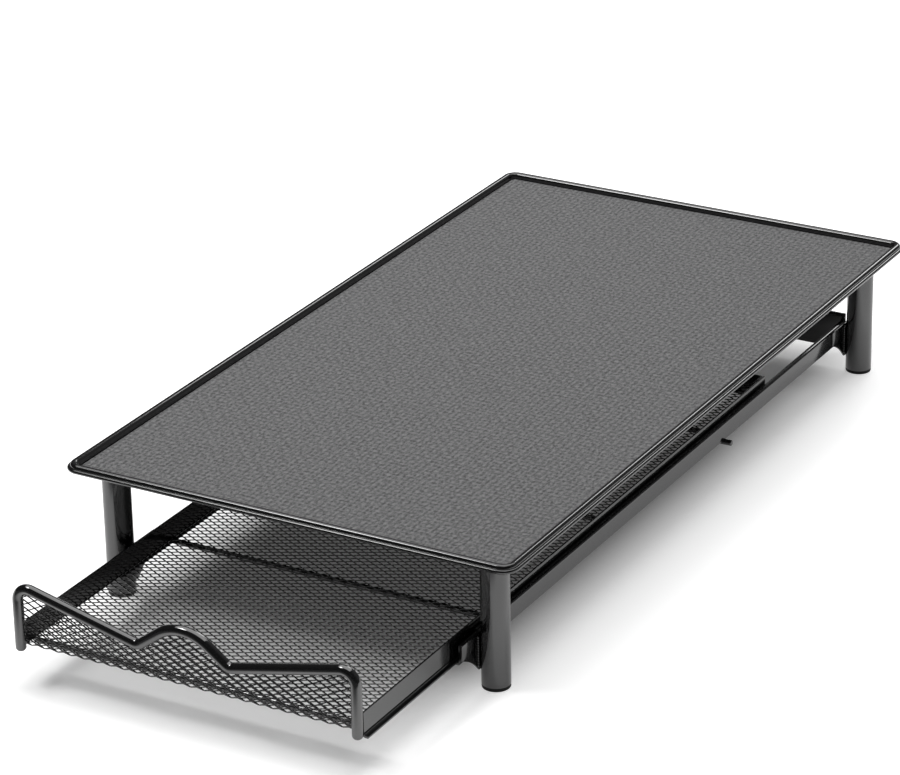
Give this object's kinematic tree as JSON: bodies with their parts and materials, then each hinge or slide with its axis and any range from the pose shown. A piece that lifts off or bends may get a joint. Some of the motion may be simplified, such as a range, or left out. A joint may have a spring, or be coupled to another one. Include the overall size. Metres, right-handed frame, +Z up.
{
  "type": "coffee pod drawer",
  "caption": "Low matted steel stand on tube legs with a wire-fronted mesh drawer for coffee pods sliding on rails beneath it.",
  "frame": {"origin": "middle of the footprint on the ground, measured with the drawer standing open by 87 mm as modelled", "axes": "+Z up, +Y from the drawer's front to the back of the stand, +X to the right seen from the drawer's front"},
  "size_m": [0.228, 0.4944, 0.067],
  "materials": {
    "coated_steel": "gloss black powder coat on sheet steel",
    "coated_tube": "satin-gloss black powder coat on steel tube",
    "coated_wire": "gloss black powder coat on steel wire",
    "coated_mesh": "gloss black powder coat on expanded steel mesh",
    "woven_mat": "matt dark grey non-slip mat with a fine woven face",
    "foot_plastic": "moulded black cap",
    "zinc_steel": "zinc-plated steel"
  },
  "bodies": {
    "stand": {"top_tray": "coated_steel", "top_mat": "woven_mat", "leg_front_left": "coated_tube", "leg_front_right": "coated_tube", "leg_rear_left": "coated_tube", "leg_rear_right": "coated_tube", "foot_cap_front_left": "foot_plastic", "foot_cap_front_right": "foot_plastic", "foot_cap_rear_left": "foot_plastic", "foot_cap_rear_right": "foot_plastic", "leg_plug_front_left": "zinc_steel", "leg_plug_front_right": "zinc_steel", "leg_plug_rear_left": "zinc_steel", "leg_plug_rear_right": "zinc_steel", "leg_screws": "zinc_steel", "rail_left": "coated_steel", "rail_right": "coated_steel", "bracket_front_left": "coated_steel", "bracket_front_right": "coated_steel", "bracket_rear_left": "coated_steel", "bracket_rear_right": "coated_steel", "rear_plate": "coated_steel"},
    "drawer": {"front_wire": "coated_wire", "front_mesh": "coated_mesh", "drawer_side_left": "coated_steel", "drawer_side_right": "coated_steel", "drawer_back": "coated_steel", "floor_mesh": "coated_mesh", "floor_cross_wires": "coated_wire", "stop_bar": "coated_wire"}
  },
  "joints": [
    {"name": "drawer_slide", "type": "slide", "parent": "stand", "child": "drawer", "axis": [0, -1, 0], "range_m": [-0.087, 0.2275]}
  ]
}
